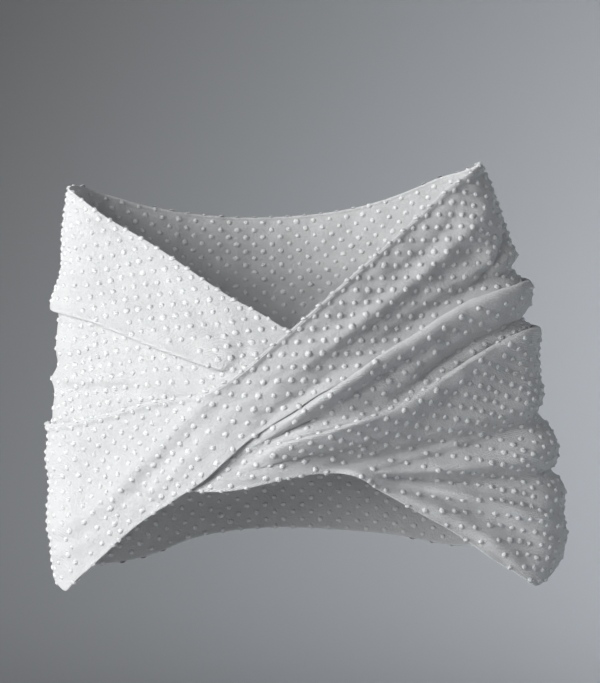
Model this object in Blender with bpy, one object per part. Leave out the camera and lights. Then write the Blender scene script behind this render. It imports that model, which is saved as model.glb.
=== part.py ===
"""Evening stole in white dotted cotton, worn off the shoulders and crossed in front.

One long straight length, cut double and turned at its edges, goes round the upper arms.  The
stretch from the wearer's left shoulder passes over the stretch from the right one.  The cloth
stands as it is worn on a general figure with the arms held close, and the figure is left open.

Every place on the cloth is given as `around`, a percentage of the way round the figure from the
front centre (0) past the wearer's left side (50) to the back centre (100), negative past the
right side, and `down`, the height below the wearer's left shoulder edge of the cloth.
"""
from collections import namedtuple

import bpy
import numpy as np

MM = 0.001

# ---------------------------------------------------------------- driving sizes
WALL = 2.0 * MM            # the doubled cloth, edge to edge of both layers
NEAR = 1.2                 # mm from the figure to the middle of the cloth nearest to it
SEAM = 56.0                # percentage round at which front and back stretches meet
SEAMS = (-SEAM, SEAM, 200.0 - SEAM)  # a fold that starts or ends at one of these runs on past it
SEAM_GAP = 0.10            # percentage left open between them, about 0.5 mm
RIM = 0.7                  # how far a turned edge rounds out, in mm
ORIGIN_DOWN = 30.0         # mm from the top of the cloth to the origin
PERCENT = 5.8              # mm of cloth in one percent of the way round, near enough
HIDDEN_SINK = 2.2          # mm by which cloth lies closer to the figure where more cloth covers it

# ---------------------------------------------------------------- the figure, in mm
Level = namedtuple(
    "Level", "down left_arm right_arm arm_back arm_radius chest_half chest_front chest_back"
)
FIGURE = [
    Level(-20, 128, -140, 0, 50, 140, 50, 72),
    Level(0, 142, -150, 0, 51, 148, 60, 80),
    Level(40, 160, -160, 2, 52, 152, 76, 90),
    Level(80, 174, -164, 4, 52, 155, 92, 95),
    Level(140, 190, -167, 7, 53, 157, 112, 97),
    Level(210, 206, -170, 10, 54, 152, 130, 93),
    Level(270, 216, -172, 12, 55, 144, 128, 88),
    Level(330, 226, -172, 14, 56, 138, 118, 84),
    Level(380, 229, -168, 15, 56, 136, 110, 82),
    Level(440, 212, -160, 15, 55, 136, 104, 80),
]
JOIN_SOFT = 5.0            # mm over which the outline rounds from chest to arm

# ---------------------------------------------------------------- the sections, in mm down
UnderRow = namedtuple(
    "UnderRow", "around top pleat_1 line_2 pleat_a pleat_b hem show_1 show_a show_b"
)
UNDER_FRONT = [
    UnderRow(-56, 22, 146, 213, 272, 284, 298, 1.00, 0.00, 0.00),
    UnderRow(-49, 25, 147, 213, 273, 285, 300, 1.00, 0.00, 0.00),
    UnderRow(-41, 39, 154, 216, 276, 288, 303, 1.00, 0.00, 0.00),
    UnderRow(-33, 63, 166, 216, 279, 291, 308, 1.00, 0.00, 0.00),
    UnderRow(-25, 85, 181, 219, 281, 294, 314, 1.00, 0.00, 0.00),
    UnderRow(-19, 104, 191, 225, 284, 297, 319, 0.95, 0.00, 0.00),
    UnderRow(-13, 124, 201, 234, 286, 297, 320, 0.60, 0.00, 0.00),
    UnderRow(-8, 140, 207, 240, 284, 294, 318, 0.15, 0.00, 0.00),
    UnderRow(-5, 148, 208, 240, 276, 285, 315, 0.00, 0.15, 0.20),
    UnderRow(-2, 157, 207, 236, 265, 279, 311, 0.00, 0.40, 0.40),
    UnderRow(1.6, 169, 203, 226, 250, 272, 306, 0.00, 0.80, 0.45),
    UnderRow(6, 178, 200, 214, 231, 265, 302, 0.00, 1.00, 0.45),
    UnderRow(11, 179, 192, 202, 211, 255, 304, 0.00, 1.00, 0.45),
    UnderRow(16, 162, 173, 182, 192, 246, 321, 0.00, 1.00, 0.45),
    UnderRow(22, 143, 154, 163, 174, 230, 343, 0.00, 1.00, 0.50),
    UnderRow(28, 124, 135, 144, 155, 210, 365, 0.00, 1.00, 0.70),
    UnderRow(34, 109, 120, 129, 139, 191, 390, 0.00, 1.00, 1.00),
    UnderRow(38, 101, 112, 121, 132, 181, 409, 0.00, 1.00, 1.00),
    UnderRow(40, 98, 109, 118, 129, 176, 418, 0.00, 1.00, 1.00),
    UnderRow(42, 95, 106, 115, 126, 172, 413, 0.00, 1.00, 1.00),
    UnderRow(46, 89, 100, 109, 120, 166, 401, 0.00, 1.00, 1.00),
    UnderRow(51, 84, 95, 104, 116, 163, 387, 0.00, 1.00, 1.00),
    UnderRow(56, 81, 92, 101, 113, 161, 382, 0.00, 1.00, 1.00),
]

OverRow = namedtuple("OverRow", "around top hem stand")
OVER_FRONT = [
    OverRow(-56, 262, 410, 6.5),
    OverRow(-50, 261, 415, 6.5),
    OverRow(-46, 261, 421, 6.2),
    OverRow(-44, 260, 424, 6.0),
    OverRow(-42, 259, 417, 5.8),
    OverRow(-40, 257, 409, 5.5),
    OverRow(-36, 252, 394, 5.0),
    OverRow(-32, 248, 377, 4.9),
    OverRow(-28, 242, 360, 4.9),
    OverRow(-23, 236, 342, 4.9),
    OverRow(-18, 232, 326, 4.9),
    OverRow(-13, 228, 309, 4.9),
    OverRow(-9, 217, 290, 4.9),
    OverRow(-5, 202, 270, 4.9),
    OverRow(-1.5, 185, 256, 4.9),
    OverRow(1.6, 170, 245, 4.9),
    OverRow(6, 148, 232, 4.9),
    OverRow(11, 124, 215, 4.9),
    OverRow(16, 102, 196, 4.9),
    OverRow(22, 77, 178, 4.9),
    OverRow(28, 53, 159, 4.9),
    OverRow(34, 31, 143, 4.9),
    OverRow(40, 15, 132, 4.9),
    OverRow(46, 4, 123, 4.9),
    OverRow(51, 1, 119, 4.9),
    OverRow(56, 4, 116, 4.9),
]

# `around` runs on past 100, so 144 is the seam on the wearer's right.
BackRow = namedtuple("BackRow", "around top hem")
BACK = [
    BackRow(56, 4, 382),
    BackRow(64, 11, 386),
    BackRow(72, 24, 389),
    BackRow(82, 38, 379),
    BackRow(92, 46, 373),
    BackRow(100, 49, 371),
    BackRow(108, 50, 373),
    BackRow(118, 47, 382),
    BackRow(128, 40, 401),
    BackRow(136, 31, 408),
    BackRow(144, 22, 410),
]

# ---------------------------------------------------------------- pleats and soft folds, in mm
# A pleat turns back on itself: `depth` is how far it runs under, `lower` and `upper` are how far
# its two upper layers stand off the lowest, and `opens` is the way its fold faces.
Pleat = namedtuple("Pleat", "opens depth lower upper reach_up reach_down")
PLEATS = {
    "pleat_1": Pleat("down", 8.0, 3.3, 6.6, 26, 12),
    "pleat_a": Pleat("up", 7.5, 8.2, 11.6, 12, 30),
    "pleat_b": Pleat("up", 7.0, 3.3, 6.6, 14, 26),
}

# A soft fold runs through three places and swells (or sinks, if minus) by `height`.
Fold = namedtuple(
    "Fold", "name start_around start_down mid_down end_around end_down height width start_fade end_fade"
)
FRONT_FOLDS = [
    Fold("band trough above", 2, 184, 110, 46, 22, -2.0, 9, 10, 8),
    Fold("band ridge", 4, 200, 126, 44, 38, 4.5, 9, 8, 8),
    Fold("band trough below", 4, 216, 146, 44, 66, -3.5, 11, 8, 6),
    Fold("band pocket", 30, 124, 101, 56, 86, -4.0, 12, 6, 2),
    Fold("brow", -32, 338, 266, -2, 184, 3.0, 8, 8, 5),
    Fold("second ridge", -26, 328, 288, -6, 236, 3.0, 8, 5, 5),
    Fold("dimple", -30, 318, 291, -12, 258, -2.5, 9, 4, 4),
    Fold("line 2 ridge", -56, 213, 216, -24, 212, 3.0, 5, 2, 10),
    Fold("faint ridge", -50, 182, 183, -34, 184, 1.6, 6, 4, 4),
    Fold("left sag", -56, 96, 108, -20, 132, -3.0, 22, 6, 8),
    Fold("lower left sag", -56, 330, 345, -34, 352, -3.0, 24, 4, 6),
    Fold("lobe", 1, 266, 254, 14, 240, 3.0, 5, 2, 4),
    Fold("trough 3", 8, 300, 264, 56, 230, -5.0, 10, 6, 2),
    Fold("ridge 4", 12, 301, 276, 56, 262, 4.0, 9, 8, 2),
    Fold("trough 4", 17, 292, 292, 56, 297, -4.5, 8, 6, 2),
    Fold("ridge 5", 11, 306, 324, 56, 352, 4.5, 9, 5, 6),
    Fold("trough 5", 20, 338, 344, 50, 366, -2.5, 8, 5, 6),
    Fold("ridge 6", 27, 362, 372, 46, 388, 2.5, 7, 4, 5),
]
OVER_FOLDS = [
    Fold("hem lift", -14, 306, 286, -1, 256, 6.0, 24, 7, 3),
]
UNDER_FOLDS = [
    Fold("hollow under the crossing", -22, 322, 304, -6, 292, -5.0, 14, 4, 4),
]
BACK_FOLDS = [
    Fold("left pleat running out", 56, 112, 96, 84, 84, 3.0, 11, 2, 14),
    Fold("left trough running out", 56, 236, 214, 92, 190, -4.0, 16, 2, 14),
    Fold("left ridge running out", 56, 300, 268, 96, 240, 4.0, 16, 2, 14),
    Fold("right pleat running out", 112, 124, 132, 144, 148, 3.0, 11, 16, 2),
    Fold("right edge running out", 104, 222, 240, 144, 270, 3.5, 14, 16, 2),
    Fold("middle sag above", 74, 112, 132, 126, 108, 3.5, 18, 12, 12),
    Fold("middle sag below", 78, 318, 306, 124, 322, -3.5, 20, 10, 12),
]

# ---------------------------------------------------------------- mesh spacing
# Both fronts are cut at the same places, closest round the arms and where they cross.
FRONT_STATIONS = (
    -56, -53, -50, -47, -44, -41, -37, -32, -27.5, -23, -19, -16, -13, -10, -7.5, -5,
    -2, 1.6, 6, 11, 16, 22, 28, 33, 37, 40, 43, 46, 49, 52, 54, 56,
)
STATIONS_BACK = 24
POINTS_BELOW_B = 8         # points of the under front between its last pleat and its hem
POINTS_OVER = 16           # points of the over front between its edges
POINTS_BACK = 15           # points of the back between its edges

# ---------------------------------------------------------------- the cloth's look
COTTON_COLOUR = (0.86, 0.86, 0.85, 1.0)
COTTON_ROUGHNESS = 0.85


# ---------------------------------------------------------------- curves
def blend(low, high, value):
    """Ease from 0 to 1 as the value goes from low to high."""
    t = np.clip((np.asarray(value, float) - low) / (high - low), 0.0, 1.0)
    return t * t * (3.0 - 2.0 * t)


def smooth(places, values, wanted):
    """Run a smooth curve through the values and read it at the wanted places."""
    places = np.asarray(places, float)
    values = np.asarray(values, float)
    wanted = np.clip(wanted, places[0], places[-1])
    slope = np.gradient(values, places)
    i = np.clip(np.searchsorted(places, wanted) - 1, 0, len(places) - 2)
    width = places[i + 1] - places[i]
    t = (wanted - places[i]) / width
    start = (2 * t**3 - 3 * t**2 + 1) * values[i] + (t**3 - 2 * t**2 + t) * width * slope[i]
    end = (-2 * t**3 + 3 * t**2) * values[i + 1] + (t**3 - t**2) * width * slope[i + 1]
    return start + end


def column(rows, name, wanted):
    """Read one named column of a table between its rows."""
    return smooth([row.around for row in rows], [getattr(row, name) for row in rows], wanted)


# ---------------------------------------------------------------- the figure's surface
AROUND_GRID = np.linspace(-100.0, 100.0, 401)
DOWN_GRID = np.arange(-20.0, 441.0, 10.0)


def outline(down):
    """Outline of the figure at one height: a taut line round the chest and both arms."""
    size = {n: float(smooth([r.down for r in FIGURE], [getattr(r, n) for r in FIGURE], down))
            for n in Level._fields[1:]}
    turn = np.radians(np.linspace(-270.0, 90.0, 1441))
    right = np.cos(turn)
    back = np.sin(turn)
    depth = np.where(back < 0, size["chest_front"], size["chest_back"])
    chest = np.sqrt((size["chest_half"] * right) ** 2 + (depth * back) ** 2)
    reach = [chest]
    swing = [(depth**2 - size["chest_half"] ** 2) * right * back / chest]
    for arm in ("left_arm", "right_arm"):
        reach.append(size[arm] * right + size["arm_back"] * back + size["arm_radius"])
        swing.append(-size[arm] * back + size["arm_back"] * right)
    reach = np.array(reach)
    share = np.exp((reach - reach.max(0)) / JOIN_SOFT)
    taut = reach.max(0) + JOIN_SOFT * np.log(share.sum(0))
    drift = (share * np.array(swing)).sum(0) / share.sum(0)
    x = taut * right - drift * back
    y = taut * back + drift * right
    walked = np.concatenate([[0.0], np.cumsum(np.hypot(np.diff(x), np.diff(y)))])
    half = walked[720]
    share_round = np.where(walked < half, walked / half - 1.0, (walked - half) / (walked[-1] - half))
    return (np.interp(AROUND_GRID, share_round * 100.0, x),
            np.interp(AROUND_GRID, share_round * 100.0, y))


OUTLINES = np.array([outline(down) for down in DOWN_GRID])


def figure_point(around, down):
    """Place on the figure, in mm, with z measured down from the top of the cloth."""
    around = np.asarray(around, float)
    down = np.asarray(down, float)
    around = np.where(around > 100.0, around - 200.0, around)
    a = np.clip((around + 100.0) * 2.0, 0.0, 399.999)
    d = np.clip((down - DOWN_GRID[0]) / 10.0, 0.0, len(DOWN_GRID) - 1.001)
    i = a.astype(int)
    k = d.astype(int)
    p = a - i
    q = d - k
    flat = [
        (OUTLINES[k, axis, i] * (1 - p) + OUTLINES[k, axis, i + 1] * p) * (1 - q)
        + (OUTLINES[k + 1, axis, i] * (1 - p) + OUTLINES[k + 1, axis, i + 1] * p) * q
        for axis in (0, 1)
    ]
    return np.stack([flat[0], flat[1], -down], -1)


def way_round(around, down):
    """Level direction round the figure at a place."""
    step = figure_point(around + 0.6, down) - figure_point(around - 0.6, down)
    return step / np.linalg.norm(step, axis=-1, keepdims=True)


def lifted(around, down, lift):
    """Place on the cloth: `lift` mm straight out from the figure."""
    level = way_round(around, down)
    out = np.stack([level[..., 1], -level[..., 0], np.zeros_like(down)], -1)
    return figure_point(around, down) + out * lift[..., None]


# ---------------------------------------------------------------- folds
def relief(folds, around, down):
    """Total swell of the soft folds at a place."""
    total = np.zeros(np.broadcast(around, down).shape)
    for fold in folds:
        t = (around - fold.start_around) / (fold.end_around - fold.start_around)
        t = np.clip(t, -0.2, 1.2)
        line = ((1 - t) * (1 - 2 * t) * fold.start_down + 4 * t * (1 - t) * fold.mid_down
                + t * (2 * t - 1) * fold.end_down)
        fall = ((4 * t - 3) * fold.start_down + (4 - 8 * t) * fold.mid_down
                + (4 * t - 1) * fold.end_down)
        slope = fall / ((fold.end_around - fold.start_around) * PERCENT)
        away = (down - line) / np.sqrt(1.0 + slope**2) / fold.width
        height = fold.height * np.exp(-away**2)
        if fold.start_around not in SEAMS:
            height = height * blend(fold.start_around - fold.start_fade,
                                    fold.start_around + fold.start_fade, around)
        if fold.end_around not in SEAMS:
            height = height * (1.0 - blend(fold.end_around - fold.end_fade,
                                           fold.end_around + fold.end_fade, around))
        total = total + height
    return total


def pleat_path(pleat, fold_at, above, below, show):
    """Nine places through a pleat as (down, lift): flat at 0, a step at a half, turned under at 1."""
    up = pleat.upper
    low = pleat.lower
    run = pleat.depth
    flat = [(along, 0.0) for along in np.linspace(above - fold_at, below - fold_at, 9)]
    if pleat.opens == "up":
        ends = (above - fold_at, below - fold_at)
        step = [(-3, 0), (-0.8, 0.15 * up), (-0.3, 0.35 * up), (-0.3, 0.55 * up), (0, 0.8 * up),
                (1.4, up), (7, 0.96 * up)]
        turned = [(run - 2, 0), (run, low / 2), (run - 2, low), (1.4, low), (0, (low + up) / 2),
                  (1.4, up), (7, 0.96 * up)]
        last = (0.0, 0.4 * up)
    else:
        ends = (above - fold_at, below - fold_at)
        step = [(-7, 0.96 * up), (-1.4, up), (0, 0.8 * up), (0.3, 0.55 * up), (0.3, 0.35 * up),
                (0.8, 0.15 * up), (3, 0)]
        turned = [(-7, 0.96 * up), (-1.4, up), (0, (low + up) / 2), (-1.4, low), (2 - run, low),
                  (-run, low / 2), (2 - run, 0)]
        last = (0.4 * up, 0.0)
    step = [(ends[0], last[0])] + step + [(ends[1], last[1])]
    turned = [(ends[0], last[0])] + turned + [(ends[1], last[1])]
    rise = float(blend(0.0, 0.5, show))
    turn = float(blend(0.5, 1.0, show))
    shape = np.array(flat) + (np.array(step) - flat) * rise + (np.array(turned) - step) * turn
    return [(fold_at + along, lift) for along, lift in shape]


def under_path(around):
    """Section of the under front from its top edge to its hem."""
    row = {n: float(column(UNDER_FRONT, n, around)) for n in UnderRow._fields[1:]}
    lines = ["top", "pleat_1", "line_2", "pleat_a", "pleat_b", "hem"]
    path = [(row["top"], RIM), (row["top"] + 3, 0.0)]
    for before, here, after in zip(lines, lines[1:], lines[2:]):
        above = (row[before] + row[here]) / 2 + 1
        below = (row[here] + row[after]) / 2 - 1
        if here == "line_2":
            path.append((max(above, row[here] - 6), 0.0))
            path.append((row[here], 0.0))
            path.append((min(below, row[here] + 6), 0.0))
            continue
        pleat = PLEATS[here]
        above = max(above, row[here] - pleat.reach_up)
        below = min(below, row[here] + pleat.reach_down)
        show = np.clip(row["show_" + here[-1]], 0.0, 1.0)
        path += pleat_path(pleat, row[here], above, below, show)
    for down in np.linspace(path[-1][0], row["hem"] - 3, POINTS_BELOW_B + 1)[1:]:
        path.append((down, 0.0))
    path.append((row["hem"], RIM))
    down = np.array([p[0] for p in path])
    lift = np.array([p[1] for p in path])
    top = float(column(OVER_FRONT, "top", around))
    hem = float(column(OVER_FRONT, "hem", around))
    hidden = blend(4.0, 16.0, np.minimum(down - top, hem - down))
    swell = relief(FRONT_FOLDS + UNDER_FOLDS, around, down)
    swell = swell + (np.minimum(swell, 0.0) - HIDDEN_SINK - swell) * hidden
    return down, lift + NEAR + swell


def over_path(around):
    """Section of the over front from its top edge to its hem."""
    row = {n: float(column(OVER_FRONT, n, around)) for n in OverRow._fields[1:]}
    down = np.concatenate([
        [row["top"], row["top"] + 2.5],
        np.linspace(row["top"] + 7, row["hem"] - 3, POINTS_OVER),
        [row["hem"]],
    ])
    rim = np.zeros_like(down)
    rim[:2] = (RIM, RIM * 1.3)
    lift = row["stand"] + rim + relief(FRONT_FOLDS + OVER_FOLDS, around, down)
    return down, lift


def seam_stand(around, wanted):
    """How far out the cloth in front stands at a seam, so the back meets it flush."""
    heights = np.arange(0.0, 430.0, 4.0)
    stand = np.zeros_like(heights)
    for path in (under_path, over_path):
        down, lift = path(around)
        for (d1, l1), (d2, l2) in zip(zip(down, lift), zip(down[1:], lift[1:])):
            inside = (heights >= min(d1, d2) - 2) & (heights <= max(d1, d2) + 2)
            stand = np.where(inside, np.maximum(stand, max(l1, l2)), stand)
    stand = np.where(stand == 0.0, NEAR, stand)
    soft = np.convolve(np.pad(stand, 2, mode="edge"), np.ones(5) / 5, mode="valid")
    return np.interp(wanted, heights, soft)


def back_path(around):
    """Section of the back from its top edge to its hem."""
    row = {n: float(column(BACK, n, around)) for n in BackRow._fields[1:]}
    down = np.concatenate([
        [row["top"]],
        np.linspace(row["top"] + 3, row["hem"] - 3, POINTS_BACK),
        [row["hem"]],
    ])
    rim = np.zeros_like(down)
    rim[0] = RIM
    left = 1.0 - blend(SEAM, SEAM + 22, around)
    right = blend(200 - SEAM - 22, 200 - SEAM, around)
    lift = (left * seam_stand(SEAM, down) + right * seam_stand(-SEAM, down)
            + (1 - left - right) * (NEAR + 2.0))
    swell = relief(BACK_FOLDS, around, down) * (1 - 0.85 * left - 0.85 * right)
    return down, lift + rim + swell


# ---------------------------------------------------------------- solids
def cloth_points(stations, path):
    """Middle of the cloth as a grid of places, a section a station, and the way round at each."""
    places = []
    ways = []
    for around in stations:
        down, lift = path(around)
        same = np.full(len(down), around)
        places.append(lifted(same, down, lift))
        ways.append(way_round(same, down))
    grid = np.array(places)
    grid[..., 2] += ORIGIN_DOWN
    return grid * MM, np.array(ways)


def face_directions(grid, level):
    """Direction each place of the grid faces, kept square to the seams at both ends."""
    along = np.gradient(grid, axis=0)
    across = np.gradient(grid, axis=1)
    facing = np.cross(across, along)
    facing /= np.linalg.norm(facing, axis=-1, keepdims=True)
    for end in (0, -1):
        leans = (facing[end] * level[end]).sum(-1, keepdims=True)
        facing[end] -= leans * level[end]
        facing[end] /= np.linalg.norm(facing[end], axis=-1, keepdims=True)
    return facing


def cloth_solid(name, grid, level, material):
    """Closed wall round a grid of places, with rounded top and hem and square ends."""
    stations, points = grid.shape[:2]
    facing = face_directions(grid, level)
    outer = grid + facing * WALL / 2
    inner = grid - facing * WALL / 2
    edge = grid.copy()
    for here, beside in ((0, 1), (-1, -2)):
        away = grid[:, here] - grid[:, beside]
        edge[:, here] += away / np.linalg.norm(away, axis=-1, keepdims=True) * RIM * MM
    verts = [tuple(p) for p in outer.reshape(-1, 3)] + [tuple(p) for p in inner.reshape(-1, 3)]
    count = stations * points
    faces = []
    for i in range(stations - 1):
        for j in range(points - 1):
            a = i * points + j
            b = a + points
            faces.append((a, a + 1, b + 1, b))
            faces.append((count + a, count + b, count + b + 1, count + a + 1))
    border = [(i, 0) for i in range(stations)]
    border += [(stations - 1, j) for j in range(1, points)]
    border += [(i, points - 1) for i in range(stations - 2, -1, -1)]
    border += [(0, j) for j in range(points - 2, 0, -1)]
    verts += [tuple(edge[i, j]) for i, j in border]
    for n, ((i, j), (k, l)) in enumerate(zip(border, border[1:] + border[:1])):
        a = i * points + j
        b = k * points + l
        mid_a = 2 * count + n
        mid_b = 2 * count + (n + 1) % len(border)
        faces.append((a, b, mid_b, mid_a))
        faces.append((mid_a, mid_b, count + b, count + a))
    mesh = bpy.data.meshes.new(name)
    mesh.from_pydata(verts, [], faces)
    mesh.materials.append(material)
    mesh.validate()
    mesh.update()
    piece = bpy.data.objects.new(name, mesh)
    bpy.context.scene.collection.objects.link(piece)
    return piece


def plain_material(name, colour, roughness):
    """Plain surface with a colour and a roughness."""
    material = bpy.data.materials.new(name)
    material.use_nodes = True
    shader = material.node_tree.nodes["Principled BSDF"]
    shader.inputs["Base Color"].default_value = colour
    shader.inputs["Roughness"].default_value = roughness
    shader.inputs["Metallic"].default_value = 0.0
    return material


def main():
    """Build the three stretches of the stole."""
    for old in list(bpy.data.objects):
        bpy.data.objects.remove(old, do_unlink=True)
    pieces = [
        ("back", np.linspace(SEAM + SEAM_GAP, 200 - SEAM - SEAM_GAP, STATIONS_BACK), back_path),
        ("under_front", FRONT_STATIONS, under_path),
        ("over_front", FRONT_STATIONS, over_path),
    ]
    for name, stations, path in pieces:
        cotton = plain_material(name + "_cotton", COTTON_COLOUR, COTTON_ROUGHNESS)
        grid, level = cloth_points(stations, path)
        cloth_solid(name, grid, level, cotton)


main()
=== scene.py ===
"""The evening stole as it looks: white doubled cotton with raised dots, crossed in front."""
import math
from collections import namedtuple

import bpy
import numpy as np
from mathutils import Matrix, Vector
from mathutils.bvhtree import BVHTree
from mathutils.kdtree import KDTree


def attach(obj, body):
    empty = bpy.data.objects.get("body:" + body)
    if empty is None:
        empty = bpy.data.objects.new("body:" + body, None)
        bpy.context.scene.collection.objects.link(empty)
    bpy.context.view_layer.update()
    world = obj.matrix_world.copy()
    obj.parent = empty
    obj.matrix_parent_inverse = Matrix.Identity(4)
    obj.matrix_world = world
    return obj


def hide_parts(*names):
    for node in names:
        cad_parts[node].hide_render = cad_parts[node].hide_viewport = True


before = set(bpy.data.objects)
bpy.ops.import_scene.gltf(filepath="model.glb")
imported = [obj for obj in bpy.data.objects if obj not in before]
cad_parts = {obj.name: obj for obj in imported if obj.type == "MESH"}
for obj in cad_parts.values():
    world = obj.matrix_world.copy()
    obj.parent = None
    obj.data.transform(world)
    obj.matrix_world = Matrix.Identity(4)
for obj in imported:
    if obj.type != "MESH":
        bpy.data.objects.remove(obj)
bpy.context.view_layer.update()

MM = 0.001

# Places on the cloth are given as the percentage of the way round the wearer, from 0 in the middle
# of the front to 100 in the middle of the back, and in mm down from the top of the cloth.

# -------- sizes
CLOTH_THICK = 1.9 * MM  # both layers, with the air between them
EDGE_THICK = 2.7 * MM  # where the doubled cloth is folded over at its edges
EDGE_REACH = 4.0 * MM  # how far in from the edge the extra thickness goes
EDGE_TURNS = [30, 60, 90, 120, 150]  # degrees round an edge's fold at which its rings lie
NEAR = 1.2  # mm from the figure to the middle of the nearest cloth
BACK_LIFT = 3.2  # and to the middle of the cloth at the back
SEAM = 56.0  # percentage round at which front and back stretches meet
SEAMS = (-SEAM, SEAM, 200.0 - SEAM)  # a fold that starts or ends at one of these runs on past it
SEAM_GAP = 0.012  # percentage round between a front stretch and the back
RUN_OUT = 22.0  # percentage round in which the front's pleats die away at the back
ORIGIN_DOWN = 30.0  # mm from the top of the cloth down to the part's origin
PERCENT = 5.8  # mm in one percent of the way round, near enough
HIDDEN_SINK = 2.2  # mm that the under front lies deeper where the over front covers it
HIDDEN_FROM = 4.0  # mm under the over front's edge at which that starts
HIDDEN_FULL = 16.0  # and at which it is complete
EDGE_STEP = 3.0  # mm between the first two places of the under front, and the last two
LINE_REACH = 6.0  # mm either side of a plain line of the under front
TOP_BAND = 6.0  # mm below a top edge that are worked out more finely
TOP_POINTS = 6
OVER_POINTS = 128  # points from that band to the hem
BACK_POINTS = 190
RIM_RIDGE = 1.3  # mm that the over front's rolled rim stands up, and the back's
BACK_RIM_RIDGE = 1.0
RIM_DIP = 0.5  # mm that the over front dips below its rim
RIM_DOWN = 1.8  # mm from a top edge to the ridge of its rolled rim
RIM_WIDTH = 2.4  # and that ridge's width
DIP_DOWN = 8.0  # mm from a top edge to the shallow dip below the rim
DIP_WIDTH = 3.0
BACK_PHASE = 37.0  # percentage round by which the back's ripple is moved on

# -------- the dots' sizes
DOT_ALONG = 19.5 * MM  # the dots' repeat along the cloth, with one more dot in its middle
DOT_ACROSS = 15.5 * MM  # and across it
DOT_RADIUS = 2.3 * MM
DOT_HEIGHT = 1.6 * MM
ROW_INSET = 3.5 * MM  # how far the first row of dots would lie outside an edge
EDGE_DOT_REACH = 4.05 * MM  # a dot up to this far past an edge sits on its fold
EDGE_DOT_RISE = 0.81 * MM  # how far from the middle of the cloth it sits there
TUFT_LENGTH = 1.9 * MM  # cut thread ends that stand out of a dot
TUFT_WIDTH = 0.6 * MM
TUFT_ENDS = 8
OUTSIDE_SIDES = 9  # sides of a dot outside, and of a plainer one inside
INSIDE_SIDES = 6
DOT_CLOSEST = 8.5 * MM  # no two dots are nearer than this
DOT_ROOM = 6.0 * MM  # a dot that other cloth covers nearer than this is left out
SKIN_CLEAR = 1.2 * MM  # how far above a dot's foot that room is measured from
HEM_TUCKED = -4.0  # percentage round from which the over front's hem is tucked into a pleat

# -------- the figure, in mm
Level = namedtuple(
    "Level", "down left_arm right_arm arm_back arm_radius chest_half chest_front chest_back"
)
FIGURE = [
    Level(-20, 128, -140, 0, 50, 140, 50, 72),
    Level(0, 142, -150, 0, 51, 148, 60, 80),
    Level(40, 160, -160, 2, 52, 152, 76, 90),
    Level(80, 174, -164, 4, 52, 155, 92, 95),
    Level(140, 190, -167, 7, 53, 157, 112, 97),
    Level(210, 206, -170, 10, 54, 152, 130, 93),
    Level(270, 216, -172, 12, 55, 144, 128, 88),
    Level(330, 226, -172, 14, 56, 138, 118, 84),
    Level(380, 229, -168, 15, 56, 136, 110, 82),
    Level(440, 212, -160, 15, 55, 136, 104, 80),
]
JOIN_SOFT = 5.0  # mm over which the taut line eases from the chest to an arm

# -------- the sections, in mm down
UnderRow = namedtuple(
    "UnderRow", "around top pleat_1 line_2 pleat_a pleat_b hem show_1 show_a show_b"
)
UNDER_FRONT = [
    UnderRow(-56, 22, 146, 213, 272, 284, 298, 0.5, 0, 0),
    UnderRow(-52, 23, 146, 213, 272, 284, 299, 0.8, 0, 0),
    UnderRow(-48, 26, 148, 213, 273, 285, 300, 1, 0, 0),
    UnderRow(-41, 39, 154, 216, 276, 288, 303, 1, 0, 0),
    UnderRow(-33, 63, 166, 216, 279, 291, 308, 1, 0, 0),
    UnderRow(-25, 85, 181, 219, 281, 294, 314, 1, 0, 0),
    UnderRow(-19, 104, 191, 225, 284, 297, 319, 1, 0, 0),
    UnderRow(-13, 124, 201, 234, 286, 297, 320, 0.78, 0, 0),
    UnderRow(-8, 140, 207, 240, 284, 294, 318, 0.26, 0, 0),
    UnderRow(-5, 148, 208, 240, 277, 285, 315, 0, 0.06, 0.16),
    UnderRow(-2, 157, 207, 236, 264, 279, 311, 0, 0.16, 0.3),
    UnderRow(1.6, 169, 203, 226, 250, 272, 306, 0, 0.32, 0.44),
    UnderRow(6, 178, 200, 214, 231, 265, 302, 0, 0.52, 0.47),
    UnderRow(11, 179, 192, 202, 211, 255, 304, 0, 1, 0.45),
    UnderRow(16, 162, 173, 182, 192, 246, 321, 0, 1, 0.45),
    UnderRow(22, 143, 154, 163, 174, 230, 343, 0, 1, 0.5),
    UnderRow(28, 124, 135, 144, 155, 210, 365, 0, 1, 0.7),
    UnderRow(34, 109, 120, 129, 139, 191, 390, 0, 1, 1),
    UnderRow(38, 101, 112, 121, 132, 181, 403, 0, 1, 1),
    UnderRow(41, 96, 107, 116, 127, 174, 413, 0, 1, 1),
    UnderRow(43, 93, 104, 113, 124, 170, 418, 0, 1, 1),
    UnderRow(45, 90, 101, 110, 121, 167, 411, 0, 1, 1),
    UnderRow(47, 88, 99, 108, 119, 165, 402, 0, 1, 1),
    UnderRow(51, 84, 95, 104, 116, 163, 387, 0, 0.95, 0.95),
    UnderRow(56, 81, 92, 101, 113, 161, 382, 0, 0.5, 0.5),
]

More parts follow.
